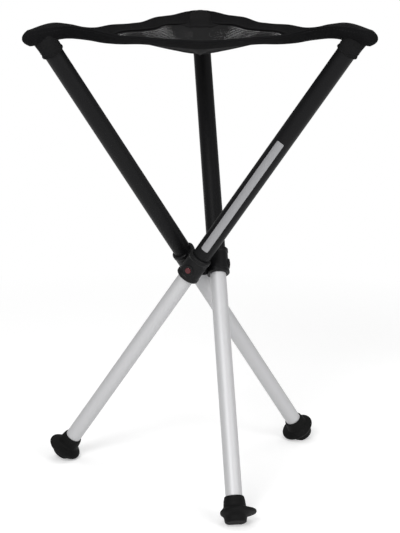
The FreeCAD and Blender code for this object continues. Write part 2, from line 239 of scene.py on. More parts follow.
@dataclass
class Stance:
    """Where the legs stand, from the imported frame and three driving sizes.

    Attributes:
        tilt: Lean of each leg, in degrees.
        offset: Distance of each leg's axis from the hub's axis, in mm.
        seat_line: Height along the leg at which it meets its seat corner, in mm.
        axis: Foot of the hub's axis on the floor, in metres.
        hub_height: Height of the legs' pivots above the floor, in mm.
    """

    tilt: float = 35.3
    offset: float = 24.2
    seat_line: float = 384.0
    axis: Vector = field(init=False)
    hub_height: float = field(init=False)

    def __post_init__(self) -> None:
        """Read the hub's place from the frame."""
        low, high = (Vector(p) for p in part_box("hub_screw"))
        self.axis = Vector(((low.x + high.x) / 2, (low.y + high.y) / 2, 0.0))
        self.hub_height = Vector(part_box("hub_lower")[1]).z / MM

    @property
    def lead(self) -> float:
        """Angle between a leg's lean and its seat corner, in degrees."""
        return math.degrees(math.atan2(self.offset, self.seat_line * math.sin(math.radians(self.tilt))))

    def place(self, x: float, y: float, z: float) -> Vector:
        """Point in metres in the stool's frame, from mm about the hub's axis."""
        return Vector((x, y, z)) * MM + self.axis

    def leg_axes(self, leg: str) -> tuple[Vector, Vector, Vector]:
        """Unit vectors of a leg.

        Args:
            leg: The leg's letter.

        Returns:
            Outwards along its pivot, across it, and up its tube.
        """
        turn = CORNER_AZIMUTH[leg] - 90.0 + self.lead
        out = flat_direction(turn)
        tilt = math.radians(self.tilt)
        up = flat_direction(turn + 90.0) * math.sin(tilt) + UP * math.cos(tilt)
        return out, up.cross(out), up

    def on_leg(self, leg: str, out: float, across: float, up: float) -> Vector:
        """Point on a leg.

        Args:
            leg: The leg's letter.
            out: Distance from its axis along the pivot, in mm.
            across: Distance from its axis across the pivot, in mm.
            up: Height along its tube, from the pivot, in mm.

        Returns:
            The point in metres.
        """
        x, y, z = self.leg_axes(leg)
        local = x * (self.offset + out) + y * across + z * up
        return self.place(local.x, local.y, local.z + self.hub_height)

    def round_leg(self, leg: str, radius: float, turn: float, up: float) -> Vector:
        """Point in metres at a radius in mm, a turn in radians and a height in mm about a leg's axis."""
        return self.on_leg(leg, radius * math.cos(turn), radius * math.sin(turn), up)

    def leg_matrix(self, leg: str) -> Matrix:
        """Placement of a leg's own frame, in metres."""
        columns = [(*axis, 0) for axis in self.leg_axes(leg)]
        return Matrix((*columns, (*self.on_leg(leg, 0, 0, 0), 1))).transposed()

    def turned_piece(self, name: str, leg: str, faces: tuple[int, int],
                     outline: Callable[[float, float], tuple[float, float]]) -> Object:
        """Add a piece that goes round a leg's axis.

        Args:
            name: Name of the piece.
            leg: The leg's letter.
            faces: Number of faces round the axis and along the outline.
            outline: Function from the shares u, round the axis, and v, along the outline, to the radius
                and the height along the leg, in mm.

        Returns:
            The piece, whose seam and poles are still open.
        """
        piece = add_grid(name, faces)

        def place(u: float, v: float) -> Vector:
            """Point of the piece."""
            radius, up = outline(u, v)
            return self.round_leg(leg, radius, math.tau * u, up)

        shape_grid(piece, place)
        return piece


def add_node(tree: ShaderNodeTree, kind: str, values: dict | None = None, **settings) -> Node:
    """Add a node to a shader tree.

    Args:
        tree: The tree that gets it.
        kind: Its type, less the word ShaderNode.
        values: Values of its inputs, by name or number.
        **settings: Values of its own properties.

    Returns:
        The node.
    """
    node = tree.nodes.new("ShaderNode" + kind)
    for key, value in settings.items():
        setattr(node, key, value)
    for key, value in (values or {}).items():
        node.inputs[key].default_value = value
    return node


def start_group(name: str, values: dict[str, float],
                outputs: tuple[str, ...]) -> tuple[ShaderNodeTree, Node, Node]:
    """Start a node group that takes a vector and some values.

    Args:
        name: Name of the group.
        values: Its other inputs and what each is by default.
        outputs: Names of its outputs.

    Returns:
        The group, and the nodes of its inputs and of its outputs.
    """
    tree = bpy.data.node_groups.new(name, "ShaderNodeTree")
    faces = tree.interface
    faces.new_socket("Vector", in_out="INPUT", socket_type="NodeSocketVector")
    for key, value in values.items():
        faces.new_socket(key, in_out="INPUT", socket_type="NodeSocketFloat").default_value = value
    for key in outputs:
        faces.new_socket(key, in_out="OUTPUT", socket_type="NodeSocketFloat")
    return tree, tree.nodes.new("NodeGroupInput"), tree.nodes.new("NodeGroupOutput")


def build_grain_group() -> None:
    """Node group: fine noise as a height and as a change of roughness."""
    values = {"Scale": 900.0, "Roughness": 0.4, "Spread": 0.1}
    tree, entry, leave = start_group("fine_grain", values, ("Height", "Roughness"))
    fine = add_node(tree, "TexNoise", {"Detail": 3.0})
    broad = add_node(tree, "TexNoise", {"Scale": 45.0, "Detail": 2.0})
    centre = add_node(tree, "Math", {1: 0.5}, operation="SUBTRACT")
    spread = add_node(tree, "Math", operation="MULTIPLY_ADD")
    link = tree.links.new
    link(entry.outputs["Vector"], fine.inputs["Vector"])
    link(entry.outputs["Vector"], broad.inputs["Vector"])
    link(entry.outputs["Scale"], fine.inputs["Scale"])
    link(fine.outputs["Fac"], leave.inputs["Height"])
    link(broad.outputs["Fac"], centre.inputs[0])
    link(centre.outputs[0], spread.inputs[0])
    link(entry.outputs["Spread"], spread.inputs[1])
    link(entry.outputs["Roughness"], spread.inputs[2])
    link(spread.outputs[0], leave.inputs["Roughness"])


def build_weave_group() -> None:
    """Node group: yarns along and across a cloth, as a height."""
    tree, entry, leave = start_group("plain_weave", {"Along": 60.0, "Across": 60.0}, ("Height",))
    split = add_node(tree, "SeparateXYZ")
    cross = add_node(tree, "Math", operation="MULTIPLY")
    link = tree.links.new
    link(entry.outputs["Vector"], split.inputs[0])
    for k, (axis, count) in enumerate((("X", "Along"), ("Y", "Across"))):
        yarns = add_node(tree, "Math", operation="MULTIPLY")
        turn = add_node(tree, "Math", {1: math.tau}, operation="MULTIPLY")
        wave = add_node(tree, "Math", operation="SINE")
        link(split.outputs[axis], yarns.inputs[0])
        link(entry.outputs[count], yarns.inputs[1])
        link(yarns.outputs[0], turn.inputs[0])
        link(turn.outputs[0], wave.inputs[0])
        link(wave.outputs[0], cross.inputs[k])
    link(cross.outputs[0], leave.inputs["Height"])


def new_material(name: str, values: dict) -> tuple[Material, ShaderNodeTree, Node]:
    """Make a material.

    Args:
        name: Its name.
        values: Values of its main shader's inputs, by name.

    Returns:
        The material, its node tree and its main shader.
    """
    material = bpy.data.materials.new(name)
    material.use_nodes = True
    shader = material.node_tree.nodes["Principled BSDF"]
    for key, value in values.items():
        shader.inputs[key].default_value = value
    return material, material.node_tree, shader


@dataclass(frozen=True)
class Cloth:
    """A close-woven cloth or webbing, whose yarns follow the piece's UV map.

    Attributes:
        name: Name of the material.
        colour: Linear base colour.
        along: Number of yarns along the piece.
        across: Number of yarns across it.
        depth: Depth of the weave, in metres.
        specular: Specular level.
        roughness: Roughness.
        shade: How far the colour wanders, as a share of it.
        wear_scale: Scale of that wandering.
    """

    name: str
    colour: tuple[float, float, float]
    along: float
    across: float
    depth: float = 0.0002
    specular: float = 0.05
    roughness: float = 0.8
    shade: float = 0.25
    wear_scale: float = 30.0

    def shaded(self, factor: float) -> tuple[float, float, float, float]:
        """The colour times a factor, with full alpha."""
        return (*(factor * part for part in self.colour), 1)

    def build(self) -> Material:
        """Make the material.

        Returns:
            The material.
        """
        material, tree, shader = new_material(self.name, {
            "Roughness": self.roughness,
            "Specular IOR Level": self.specular,
        })
        place = add_node(tree, "TexCoord")
        weave = add_node(tree, "Group", {
            "Along": self.along,
            "Across": self.across,
        }, node_tree=bpy.data.node_groups["plain_weave"])
        bump = add_node(tree, "Bump", {"Distance": self.depth})
        wear = add_node(tree, "TexNoise", {"Scale": self.wear_scale})
        tint = add_node(tree, "Mix", {
            "A": self.shaded(1 - self.shade),
            "B": self.shaded(1 + self.shade),
        }, data_type="RGBA")
        link = tree.links.new
        link(place.outputs["UV"], weave.inputs["Vector"])
        link(weave.outputs["Height"], bump.inputs["Height"])
        link(bump.outputs["Normal"], shader.inputs["Normal"])
        link(place.outputs["Object"], wear.inputs["Vector"])
        link(wear.outputs["Fac"], tint.inputs["Factor"])
        link(tint.outputs["Result"], shader.inputs["Base Color"])
        return material


@dataclass(frozen=True)
class Finish:
    """A finish with fine grain: moulded plastic, rubber, painted or bare metal.

    Attributes:
        name: Name of the material.
        colour: Linear base colour.
        roughness: Middle roughness.
        spread: How far the roughness wanders.
        metallic: 0 for plastics, 1 for bare metal.
        grain: Scale of the fine grain.
        bump: Depth of the grain, in metres.
        specular: Specular level.
        stretch: Stretch of the grain along the piece, below 1 for drawn metal.
    """

    name: str
    colour: tuple[float, float, float]
    roughness: float
    spread: float = 0.08
    metallic: float = 0.0
    grain: float = 900.0
    bump: float = 0.00005
    specular: float = 0.5
    stretch: float = 1.0

    def build(self, turn: Matrix | None = None, suffix: str = "") -> Material:
        """Make the material.

        Args:
            turn: Placement of the piece, where the grain runs along it.
            suffix: Added to the material's name.

        Returns:
            The material.
        """
        material, tree, shader = new_material(self.name + suffix, {
            "Base Color": (*self.colour, 1),
            "Metallic": self.metallic,
            "Specular IOR Level": self.specular,
        })
        link = tree.links.new
        vector = add_node(tree, "TexCoord").outputs["Object"]
        if turn is not None:
            mapping = add_node(tree, "Mapping", {
                "Location": turn.translation,
                "Rotation": turn.to_euler(),
                "Scale": (1, 1, 1 / self.stretch),
            }, vector_type="TEXTURE")
            link(vector, mapping.inputs["Vector"])
            vector = mapping.outputs["Vector"]
        grain = add_node(tree, "Group", {
            "Scale": self.grain,
            "Roughness": self.roughness,
            "Spread": self.spread,
        }, node_tree=bpy.data.node_groups["fine_grain"])
        bump = add_node(tree, "Bump", {"Distance": self.bump})
        link(vector, grain.inputs["Vector"])
        link(grain.outputs["Height"], bump.inputs["Height"])
        link(bump.outputs["Normal"], shader.inputs["Normal"])
        link(grain.outputs["Roughness"], shader.inputs["Roughness"])
        return material


HUB_PLASTIC = Finish("hub_plastic", (0.005, 0.005, 0.0055), 0.5, specular=0.14)
BLOCK_PLASTIC = Finish("block_plastic", (0.005, 0.005, 0.0055), 0.45, specular=0.18)
CAP_PLASTIC = Finish("cap_plastic", (0.008, 0.008, 0.008), 0.5, specular=0.25)
BLACK_TUBE = Finish("black_tube", (0.0045, 0.0045, 0.005), 0.46, bump=0.00002, specular=0.15, stretch=0.03)
SILVER_TUBE = Finish("silver_tube", (0.57, 0.57, 0.58), 0.5, metallic=0.25, bump=0.00002, stretch=0.02)
ZINC_STEEL = Finish("zinc_steel", (0.55, 0.56, 0.58), 0.3, metallic=1.0)
FOOT_RUBBER = Finish("foot_rubber", (0.0045, 0.0045, 0.0045), 0.65, bump=0.0001, specular=0.12)
RED_BUTTON = Finish("red_button", (0.075, 0.003, 0.007), 0.2)
SEAT_NET = Finish("seat_net", (0.011, 0.011, 0.0115), 0.7, specular=0.1)
PATCH_CLOTH = Cloth("patch_cloth", (0.0135, 0.0135, 0.014), 90.0, 60.0)
BINDING_WEB = Cloth("binding_web", (0.0065, 0.0065, 0.007), 170.0, 9.0, 0.0003)
SEWING_THREAD = Finish("sewing_thread", (0.008, 0.008, 0.009), 0.6, specular=0.15)
LABEL_FOIL = Finish("label_foil", (0.31, 0.31, 0.32), 0.4, metallic=0.3)

FINISH_OF_TUBE = {"upper_tube": BLACK_TUBE, "lower_tube": SILVER_TUBE}
FINISH_OF_NODE = {
    "hub_upper": HUB_PLASTIC,
    "hub_lower": HUB_PLASTIC,
    "hub_screw": ZINC_STEEL,
    "hub_nut": ZINC_STEEL,
    "joint_block": BLOCK_PLASTIC,
    "glide_bush": CAP_PLASTIC,
    "catch_spring": ZINC_STEEL,
    "release_button": RED_BUTTON,
}


def dress_nodes(stance: Stance, nodes: dict[str, Object]) -> None:
    """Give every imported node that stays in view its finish.

    Args:
        stance: Where the legs stand.
        nodes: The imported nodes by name.
    """
    made = {name: finish.build() for name, finish in FINISH_OF_NODE.items()}
    for name, node in nodes.items():
        kind, _, leg = name.rpartition("_")
        material = made.get(name, made.get(kind))
        if kind in FINISH_OF_TUBE:
            material = FINISH_OF_TUBE[kind].build(stance.leg_matrix(leg), "_" + leg)
        if material is not None:
            give(node, material)
    LOG.info("dressed the packed nodes")


@dataclass
class Thread:
    """Sewing thread and the stitches that it makes. Sizes are in mm.

    Attributes:
        pitch: Distance from stitch to stitch.
        radius: Radius of a stitch.
        stretch: Length of a stitch as a multiple of its thickness.
        lift: How far a stitch's middle lies off the cloth.
        faces: Number of faces round a stitch and along it.
        material: The thread's material.
    """

    pitch: float = 3.8
    radius: float = 0.42
    stretch: float = 3.4
    lift: float = 0.1
    faces: tuple[int, int] = (6, 4)
    material: Material = field(init=False)

    def __post_init__(self) -> None:
        """Make the thread's material."""
        self.material = SEWING_THREAD.build()

    def sew(self, name: str, route: list[Vector]) -> Object:
        """Row of stitches along a route.

        Args:
            name: Name of the row.
            route: Points in metres, on the cloth's face.

        Returns:
            The stitches, as one object.
        """
        length = sum((b - a).length for a, b in zip(route, route[1:])) / MM
        count = max(int(length / self.pitch) - 1, 1)
        step = self.pitch * MM
        curve = bpy.data.curves.new(name + "_route", "CURVE")
        curve.dimensions = "3D"
        spline = curve.splines.new("POLY")
        spline.points.add(len(route) - 1)
        for point, place in zip(spline.points, route):
            point.co = (*place, 1)
        guide = bpy.data.objects.new(name + "_route", curve)
        bpy.context.collection.objects.link(guide)
        deselect_all()
        bpy.ops.mesh.primitive_uv_sphere_add(segments=self.faces[0], ring_count=self.faces[1],
                                             radius=self.radius * MM, location=(step / 2, 0, 0))
        row = bpy.context.object
        row.name = name
        row.data.name = name
        row.scale = (self.stretch, 1, 1)
        bpy.ops.object.transform_apply(location=True, scale=True)
        repeat(row, count, (step, 0, 0))
        apply_modifier(row, "CURVE", object=guide, deform_axis="POS_X")
        bpy.data.objects.remove(guide)
        smooth(row, CLOTH_EDGE_ANGLE, self.material)
        return row


@dataclass(frozen=True)
class BandStation:
    """The edge band at one distance from the middle of its edge.

    Attributes:
        share: Distance as a share of the way to the corner's nose.
        top: Height of the outer rim above the floor, in mm.
        rise: How far the outer rim stands above the inner one, in mm.
    """

    share: float
    top: float
    rise: float


FRONT_NOSE_STATIONS = (
    BandStation(0.87, 640.8, 17.0),
    BandStation(0.94, 637.8, 17.0),
    BandStation(1.0, 636.2, 17.0),
)
FRONT_STATIONS = (
    BandStation(0.0, 622.7, 10.8),
    BandStation(0.17, 624.6, 9.8),
    BandStation(0.34, 627.4, 9.2),
    BandStation(0.46, 630.0, 11.5),
    BandStation(0.555, 635.0, 14.6),
    BandStation(0.65, 640.0, 15.6),
    BandStation(0.77, 643.4, 16.4),
    *FRONT_NOSE_STATIONS,
)
SIDE_FRONT_STATIONS = (
    BandStation(0.0, 630.6, 7.4),
    BandStation(0.24, 632.6, 7.8),
    BandStation(0.40, 631.8, 11.5),
    BandStation(0.52, 634.6, 14.6),
    BandStation(0.635, 640.0, 15.6),
    BandStation(0.76, 643.4, 16.4),
    *FRONT_NOSE_STATIONS,
)
SIDE_BACK_STATIONS = (
    BandStation(0.0, 630.6, 7.4),
    BandStation(0.12, 630.4, 7.6),
    BandStation(0.28, 634.1, 9.0),
    BandStation(0.40, 634.2, 11.0),
    BandStation(0.52, 633.8, 12.0),
    BandStation(0.66, 634.7, 13.5),
    BandStation(0.79, 635.0, 15.0),
    BandStation(0.90, 634.0, 15.4),
    BandStation(1.0, 633.0, 14.6),
)


def join_smoothly(t: float, start: float, end: float, start_slope: float, end_slope: float) -> float:
    """Value of the cubic with the given ends and slopes, at a share t of the way."""
    value = (2 * t ** 3 - 3 * t ** 2 + 1) * start + (t ** 3 - 2 * t ** 2 + t) * start_slope
    return value + ((3 * t ** 2 - 2 * t ** 3) * end + (t ** 3 - t ** 2) * end_slope)


@dataclass
class HalfEdge:
    """One half of an edge of the sling, from the edge's middle to a corner's nose. Sizes are in mm.

    Attributes:
        seat: The sling.
        edge: Its edge.
        corner: The leg at its corner.
        stations: The band's heights along it.
        outward: Unit vector from the middle of the seat to the middle of the edge.
        towards: Unit vector along the edge, towards the corner.
        spine: Unit vector from the middle of the seat to the corner.
        nose: Centre of the corner's nose, as distances outwards and towards the corner.
        reach: Distance along the edge at which the rim starts to wrap round the nose.
        swing: How far the rim comes outwards by then.
        power: Power of the rim's curve up to there.
    """

    seat: "SlingSeat"
    edge: Edge
    corner: str
    stations: tuple[BandStation, ...]
    outward: Vector = field(init=False)
    towards: Vector = field(init=False)
    spine: Vector = field(init=False)
    nose: Vector = field(init=False)
    reach: float = field(init=False)
    swing: float = field(init=False)
    power: float = field(init=False)

    def __post_init__(self) -> None:
        """Work out the rim's curve in plan."""
        seat = self.seat
        self.outward = flat_direction(self.edge.value)
        self.spine = flat_direction(CORNER_AZIMUTH[self.corner])
        self.towards = (self.spine - self.outward * self.spine.dot(self.outward)).normalized()
        flare = math.radians(seat.flare)
        sector = math.radians(HALF_SECTOR)
        nose = seat.nose_reach - seat.nose_radius
        self.nose = Vector((nose * math.cos(sector), nose * math.sin(sector)))
        self.reach = self.nose.y - seat.wrap_radius * math.sin(flare)
        self.swing = self.nose.x + seat.wrap_radius * math.cos(flare) - seat.edge_middle
        self.power = math.tan(flare) * self.reach / self.swing

    @property
    def name(self) -> str:
        """Name used in the pieces of this half."""
        return f"{self.edge.name.lower()}_{self.corner}"

    @property
    def length(self) -> float:
        """Length of the outer rim in plan, taken along its chord before the nose."""
        return self.reach + self.seat.wrap_radius * math.radians(HALF_SECTOR + self.seat.flare)

    @cached_property
    def rail(self) -> tuple[np.ndarray, np.ndarray, np.ndarray]:
        """The rail as seen from the middle of the seat.

        Returns:
            Angles from the edge's middle in radians, radii and heights.
        """
        steps = self.seat.rail_steps
        points = [self.rail_point(self.length * k / steps) for k in range(steps + 1)]
        out = np.array([p.dot(self.outward) for p in points])
        side = np.array([p.dot(self.towards) for p in points])
        return np.arctan2(side, out), np.hypot(out, side), np.array([p.z for p in points])

    @cached_property
    def seam(self) -> float:
        """Distance along the half at which its rail crosses the patch's seam, found by halving.

        Returns:
            The distance from the edge's middle.
        """
        low, high = 0.0, self.length
        for _ in range(self.seat.halvings):
            middle = (low + high) / 2
            if self.rail_point(middle).dot(self.spine) < self.seat.seam_radius:
                low = middle
            else:
                high = middle
        return low

    def plan(self, along: float) -> tuple[float, float, float]:
        """Outer rim in plan.

        Args:
            along: Distance from the edge's middle.

        Returns:
            Distance outwards, distance towards the corner, and the rim's slope in radians.
        """
        if along <= self.reach:
            share = max(along, 0.0) / self.reach
            slope = math.atan(self.power * self.swing / self.reach * share ** (self.power - 1))
            return self.seat.edge_middle + self.swing * share ** self.power, along, slope
        radius = self.seat.wrap_radius
        slope = math.radians(self.seat.flare) - (along - self.reach) / radius
        return self.nose.x + radius * math.cos(slope), self.nose.y - radius * math.sin(slope), slope

    def station(self, along: float) -> tuple[float, float]:
        """Heights of the rims, on a smooth curve through the stations.

        Args:
            along: Distance from the edge's middle.

        Returns:
            Height of the outer rim, and its rise over the inner rim.
        """
        share = min(max(along / self.length, 0.0), 1.0)
        row = self.stations
        last = len(row) - 2
        k = 0
        while k < last and share > row[k + 1].share:
            k += 1
        before, here, after, beyond = row[max(k - 1, 0)], row[k], row[k + 1], row[min(k + 2, last + 1)]
        span = after.share - here.share
        result = []
        for key in ("top", "rise"):
            p0, p1, p2, p3 = (getattr(s, key) for s in (before, here, after, beyond))
            m1 = 0.0 if k == 0 else (p2 - p0) / (after.share - before.share) * span
            m2 = 0.0 if k == last else (p3 - p1) / (beyond.share - here.share) * span
            result.append(join_smoothly((share - here.share) / span, p1, p2, m1, m2))
        return result[0], result[1]

    def band_point(self, along: float, across: float, lift: float = 0.0) -> Vector:
        """Point on the band's middle sheet, in mm about the hub's axis.

        Args:
            along: Distance from the edge's middle.
            across: 0 at the outer rim and 1 at the inner rim.
            lift: Distance off the sheet, outwards and down.

        Returns:
            The point.
        """
        seat = self.seat
        out, side, slope = self.plan(along)
        top, rise = self.station(along)
        nearness = ease((along / self.length - seat.nose_start_share) / seat.nose_growth_share)
        width = seat.band_width + (seat.nose_width - seat.band_width) * nearness
        lean = math.asin(min(rise / width, 1.0))
        normal = self.outward * math.cos(slope) - self.towards * math.sin(slope)
        crown = seat.band_crown + (seat.nose_crown - seat.band_crown) * nearness
        lift += crown * (1 - (2 * across - 1) ** 2)
        base = self.outward * out + self.towards * side
        inset = across * width * math.cos(lean) - lift * math.sin(lean)
        point = base - normal * inset
        point.z = top - across * width * math.sin(lean) - lift * math.cos(lean)
        return point

    def rail_point(self, along: float) -> Vector:
        """Where the seat cloth meets the band: at the inner rim, and near the corner at the outer one.

        Args:
            along: Distance from the edge's middle.

        Returns:
            The point, in mm about the hub's axis.
        """
        share = ease((along / self.length - self.seat.rail_start_share) / self.seat.rail_climb_share)
        across = self.seat.rail_across_share
        return self.band_point(along, across * (1 - share) + (1 - across) * share)


@dataclass(frozen=True)
class Hump:
    """Where a corner patch stands up over the tube's end, in mm.

    Attributes:
        height: How far it stands up.
        middle: Its distance from the middle of the seat.
        reach: Its length to either side.
    """

    height: float
    middle: float
    reach: float


@dataclass
class SlingSeat:
    """The sewn seat: a net panel, three corner patches and the edge band.

    Sizes are in mm, angles in degrees and heights above the floor. The rim runs outwards by the flare where
    it reaches the nose. The square and the cubic are factors of the sag's height in powers of the radius, and
    the tent is a lift of the cloth on both sides of the front edge's middle, full from its turn on. Steps are
    the points of a route or an outline.
    """

    stance: Stance
    thread: Thread
    edge_middle: float = 109.0
    nose_reach: float = 257.4
    nose_radius: float = 13.4
    nose_crown: float = 7.2
    nose_width: float = 17.2
    nose_start_share: float = 0.72
    nose_growth_share: float = 0.22
    wrap_radius: float = 8.0
    flare: float = 16.4
    band_width: float = 22.0
    band_thickness: float = 2.6
    band_crown: float = 0.8
    band_faces: tuple[int, int] = (96, 8)
    band_route_steps: int = 70
    band_stitch_share: float = 0.14
    rail_start_share: float = 0.56
    rail_climb_share: float = 0.30
    rail_across_share: float = 0.9
    rail_steps: int = 80
    middle_height: float = 595.0
    square: float = 1.9712e-3
    cubic: float = -5.0811e-6
    seam_radius: float = 139.0
    seam_lift: float = 1.0
    seam_route_steps: int = 20
    seam_stitch_shares: tuple[float, float] = (0.03, 0.09)
    halvings: int = 40
    net_half_width: float = 205.0
    net_front: float = -120.0
    net_back: float = 172.0
    net_pitch: float = 3.0
    net_thread: float = 1.15
    net_thickness: float = 0.6
    net_merge: float = 0.05
    net_overlap: float = 4.0
    net_outline_steps: int = 20
    patch_thickness: float = 1.0
    patch_faces: tuple[int, int] = (24, 40)
    blend_reach: float = 204.0
    tent_lift: float = 8.4
    tent_turn: float = 25.0
    hump: Hump = Hump(7.8, 211.0, 44.0)
    back_hump: Hump = Hump(2.4, 221.0, 30.0)
    halves: list[HalfEdge] = field(init=False)

    def __post_init__(self) -> None:
        """Lay out the six half-edges."""
        self.halves = [
            HalfEdge(self, Edge.FRONT, "a", FRONT_STATIONS),
            HalfEdge(self, Edge.FRONT, "c", FRONT_STATIONS),
            HalfEdge(self, Edge.LEFT, "c", SIDE_FRONT_STATIONS),
            HalfEdge(self, Edge.LEFT, "b", SIDE_BACK_STATIONS),
            HalfEdge(self, Edge.RIGHT, "a", SIDE_FRONT_STATIONS),
            HalfEdge(self, Edge.RIGHT, "b", SIDE_BACK_STATIONS),
        ]

    @property
    def patch_reach(self) -> float:
        """Distance from the middle of the seat to the tips of the corner patches."""
        return self.nose_reach - self.nose_radius + self.wrap_radius

    def base_height(self, radius: np.ndarray, azimuth: np.ndarray) -> np.ndarray:
        """Heights of the sagging sling before the rim draws it."""
        wave = np.cos(3 * (azimuth - math.radians(CORNER_AZIMUTH[BACK_LEG])))
        return self.middle_height + self.square * radius ** 2 + self.cubic * radius ** 3 * wave

    def cloth_heights(self, half: HalfEdge, out: np.ndarray,
                      side: np.ndarray) -> tuple[np.ndarray, np.ndarray]:
        """Height of the cloth and distance to the rail, for points of one half.

        Args:
            half: The half-edge whose sector holds the points.
            out: Distances outwards.
            side: Distances towards the corner.

        Returns:
            Heights, and each point's radius as a share of the rail's.
        """
        angles, radii, heights = half.rail
        angle = np.arctan2(side, out)
        reach = np.interp(angle, angles, radii)
        rim = np.interp(angle, angles, heights)
        radius = np.hypot(out, side)
        share = radius / reach
        hand = math.copysign(1.0, half.outward.cross(half.towards).z)
        azimuth = math.radians(half.edge.value) + hand * angle
        height = self.base_height(radius, azimuth)
        height = height + share ** 3 * (rim - self.base_height(reach, azimuth))
        past_front = np.abs((np.degrees(azimuth) - Edge.FRONT.value + 180) % 360 - 180)
        fade = np.clip(past_front / HALF_SECTOR - 1, 0.0, 1.0)
        tent = np.minimum(past_front / self.tent_turn, 1.0) * (1 - fade * fade * (3 - 2 * fade))
        height = height + self.tent_lift * tent * 4 * share * np.clip(1 - share, 0.0, 1.0)
        return height, share

    def patch_point(self, half: HalfEdge, u: float, v: float) -> Vector:
        """Point of a corner patch.

        Args:
            half: The half-edge that the patch meets.
            u: Share of the way from the corner line to the rail.
            v: Share of the way from the seam to the nose.

        Returns:
            The point, in mm about the hub's axis.
        """
        rail = half.rail_point(half.seam + (half.length - half.seam) * v)
        reach = self.seam_radius + (self.patch_reach - self.seam_radius) * v
        point = (half.spine * reach).lerp(Vector((rail.x, rail.y, 0)), u)
        out, side = (np.array([point.dot(way)]) for way in (half.outward, half.towards))
        hump = self.back_hump if half.corner == BACK_LEG else self.hump
        rise = hump.height * math.exp(-2 * ((reach - hump.middle) / hump.reach) ** 2)
        height, _ = self.cloth_heights(half, out, side)
        point.z = float(height[0]) + rise * (1 - u ** 3) + self.seam_lift * (1 - u ** 4)
        return point

    def lay_cloth(self, name: str, faces: tuple[int, int], point: Callable[[float, float], Vector],
                  thickness: float, material: Material) -> tuple[Object, tuple[float, float], float]:
        """Lay a piece of cloth on the sling.

        Args:
            name: Name of the piece.
            faces: Number of faces along it and across it.
            point: Function from the shares u and v to a point in mm about the hub's axis.
            thickness: Thickness of the cloth.
            material: The cloth's material.

        Returns:
            The piece, width and length of its cut in metres, and the cut's area in square metres.
        """
        piece = add_grid(name, faces)
        shape_grid(piece, lambda u, v: self.stance.place(*point(u, v)))
        flat, area = cut_size(piece, faces)
        thicken(piece, thickness)
        outwards(piece)
        smooth(piece, CLOTH_EDGE_ANGLE, material)
        return piece, flat, area

    def sew_row(self, name: str, route: list[Vector]) -> Object:
        """Row of stitches along a route in mm about the hub's axis."""
        return self.thread.sew("stitches_" + name, [self.stance.place(*point) for point in route])

    def make_band(self, half: HalfEdge, material: Material) -> list[Object]:
        """Twisted edge band of one half, wrapped round the corner's nose.

        Args:
            half: The half-edge.
            material: The webbing's material.

        Returns:
            The band and its rows of stitches.
        """
        piece, flat, area = self.lay_cloth("edge_band_" + half.name, self.band_faces,
                                           lambda u, v: half.band_point(u * half.length, v),
                                           self.band_thickness, material)
        face = self.band_thickness / 2 + self.thread.lift
        inset = self.band_stitch_share
        steps = self.band_route_steps
        rows = []
        for name, across, lift in (
            ("outer", inset, face),
            ("inner", 1 - inset, face),
            ("upper", 1 - inset, -face),
        ):
            route = [half.band_point(half.length * k / steps, across, lift) for k in range(steps + 1)]
            rows.append(self.sew_row(f"{name}_{half.name}", route))
        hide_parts(EDGE_NODES[half.edge])
        return [piece, *rows]

    def make_patch(self, half: HalfEdge, material: Material) -> list[Object]:
        """Half of a corner patch, from the corner line to the band.

        Args:
            half: The half-edge that it meets.
            material: The cloth's material.

        Returns:
            The patch and its rows of stitches.
        """
        piece, flat, area = self.lay_cloth("corner_patch_" + half.name, self.patch_faces,
                                           lambda u, v: self.patch_point(half, u, v),
                                           self.patch_thickness, material)
        face = UP * (self.patch_thickness / 2 + self.thread.lift)
        steps = self.seam_route_steps
        rows = []
        for k, v in enumerate(self.seam_stitch_shares):
            route = [self.patch_point(half, n / steps, v) + face for n in range(steps)]
            rows.append(self.sew_row(f"seam_{k + 1}_{half.name}", route))
        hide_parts("corner_patch_" + half.corner)
        return [piece, *rows]

    def make_net(self) -> Object:
        """Flat net of six-sided holes over the whole seat.

        Returns:
            The net, in mm about the hub's axis.
        """
        side = self.net_pitch / math.sqrt(3)
        row_pitch = 1.5 * side
        columns = math.ceil(2 * self.net_half_width / self.net_pitch)
        rows = math.ceil((self.net_back - self.net_front) / (2 * row_pitch))
        deselect_all()
        bpy.ops.mesh.primitive_circle_add(vertices=6, radius=side, fill_type="NGON",
                                          location=(-self.net_half_width, self.net_front, 0))
        net = bpy.context.object
        net.name = "net_blank"
        bpy.ops.object.transform_apply(location=True)
        edit_all(net)
        bpy.ops.mesh.duplicate()
        bpy.ops.transform.translate(value=(self.net_pitch / 2, row_pitch, 0))
        bpy.ops.object.mode_set(mode="OBJECT")
        repeat(net, columns, (self.net_pitch, 0, 0))
        repeat(net, rows, (0, 2 * row_pitch, 0))
        edit_all(net)
        bpy.ops.mesh.remove_doubles(threshold=self.net_merge)
        bpy.ops.mesh.select_all(action="SELECT")
        bpy.ops.mesh.inset(thickness=self.net_thread / 2, use_individual=True)
        bpy.ops.mesh.delete(type="FACE")
        bpy.ops.object.mode_set(mode="OBJECT")
        return net

    def net_cut(self, half: HalfEdge) -> tuple[tuple[float, float], float]:
        """Flat size of the net of one half, less the band and the patch.

        Args:
            half: The half-edge that it meets.

        Returns:
            Width and length of the cut in metres, and its area in square metres.
        """
        steps = self.net_outline_steps
        ways = (half.outward, half.towards)
        rail = [half.rail_point(half.seam * k / steps) for k in range(steps + 1)]
        corners = [(0.0, 0.0), *(tuple(point.dot(way) for way in ways) for point in rail)]
        corners.append(tuple(self.seam_radius * half.spine.dot(way) for way in ways))
        area = abs(sum(a[0] * b[1] - b[0] * a[1] for a, b in zip(corners, corners[1:] + corners[:1]))) / 2
        width, length = (max(c[k] for c in corners) for k in (0, 1))
        return (width * MM, length * MM), area * MM * MM

